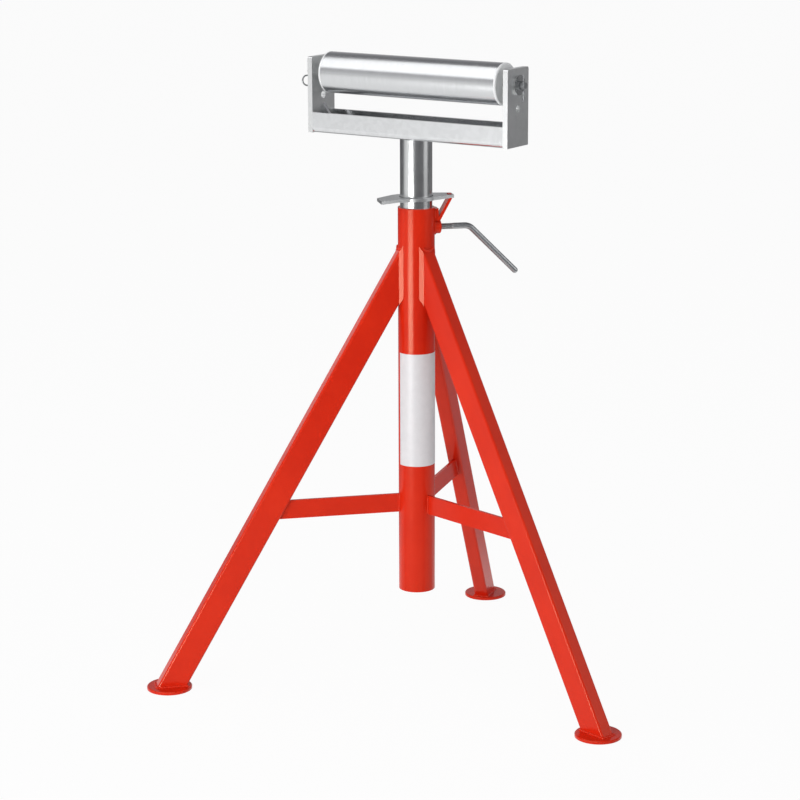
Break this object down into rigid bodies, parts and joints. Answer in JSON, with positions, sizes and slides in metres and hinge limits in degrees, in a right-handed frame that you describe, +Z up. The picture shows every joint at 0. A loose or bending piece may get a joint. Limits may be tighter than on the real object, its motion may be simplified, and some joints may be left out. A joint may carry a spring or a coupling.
{
  "type": "pipe roller support",
  "caption": "Height-adjustable tripod pipe stand: a telescoping post with a tilting brake plate and clamp screw carries a swivelling head with a free-turning roller.",
  "frame": {"origin": "on the floor under the post's axis", "axes": "+Z up along the post, +X along the roller's axis at rest"},
  "size_m": [0.6241, 0.6268, 0.8292],
  "materials": {
    "red_paint": "gloss",
    "plated_steel": "satin",
    "zinc_steel": "satin",
    "roller_steel": "polished",
    "cap_plastic": "matte",
    "pad_brass": "satin"
  },
  "bodies": {
    "stand": {"outer_post": "red_paint", "leg_right": "red_paint", "leg_rear": "red_paint", "leg_left": "red_paint", "foot_right": "red_paint", "foot_rear": "red_paint", "foot_left": "red_paint", "brace_right": "red_paint", "brace_rear": "red_paint", "brace_left": "red_paint", "clamp_boss": "red_paint", "brake_bracket": "red_paint"},
    "brake": {"brake_plate": "plated_steel"},
    "pad": {"clamp_pad": "pad_brass"},
    "screw": {"clamp_screw": "plated_steel"},
    "mast": {"inner_post": "plated_steel"},
    "head": {"head_spigot": "zinc_steel", "head_channel": "zinc_steel", "end_plate_left": "zinc_steel", "end_plate_right": "zinc_steel", "gusset_left": "zinc_steel", "gusset_right": "zinc_steel", "roller_axle": "plated_steel", "axle_washer_left": "plated_steel", "axle_washer_right": "plated_steel", "axle_spacer_left": "plated_steel", "axle_spacer_right": "plated_steel", "axle_clip_left": "plated_steel", "axle_clip_right": "plated_steel", "bearing_inner_left": "roller_steel", "bearing_inner_right": "roller_steel"},
    "roller": {"roller_tube": "roller_steel", "end_cap_left": "cap_plastic", "end_cap_right": "cap_plastic", "bearing_outer_left": "roller_steel", "bearing_outer_right": "roller_steel", "bearing_balls_left": "roller_steel", "bearing_balls_right": "roller_steel"}
  },
  "joints": [
    {"name": "mast_slide", "type": "slide", "parent": "stand", "child": "mast", "axis": [0, 0, 1], "range_m": [-0.04, 0.335]},
    {"name": "head_swivel", "type": "hinge", "parent": "mast", "child": "head", "pos_m": [0, 0, 0.7245], "axis": [0, 0, 1], "continuous": true},
    {"name": "roller_spin", "type": "hinge", "parent": "head", "child": "roller", "pos_m": [0, 0, 0.8022], "axis": [1, 0, 0], "continuous": true},
    {"name": "brake_lift", "type": "hinge", "parent": "stand", "child": "brake", "pos_m": [0.03084, 0.03138, 0.6465], "axis": [-0.7133, 0.7009, 0], "range_deg": [0, 8]},
    {"name": "clamp_feed", "type": "slide", "parent": "stand", "child": "pad", "axis": [0.7009, 0.7133, 0], "range_m": [0, 0.00125]},
    {"name": "clamp_turn", "type": "hinge", "parent": "pad", "child": "screw", "pos_m": [0, 0, 0.608], "axis": [0.7009, 0.7133, 0], "range_deg": [0, 360]}
  ],
  "couplings": [
    {"joint": "clamp_feed", "follows": "clamp_turn", "m_per_rad": 0.00019894}
  ]
}
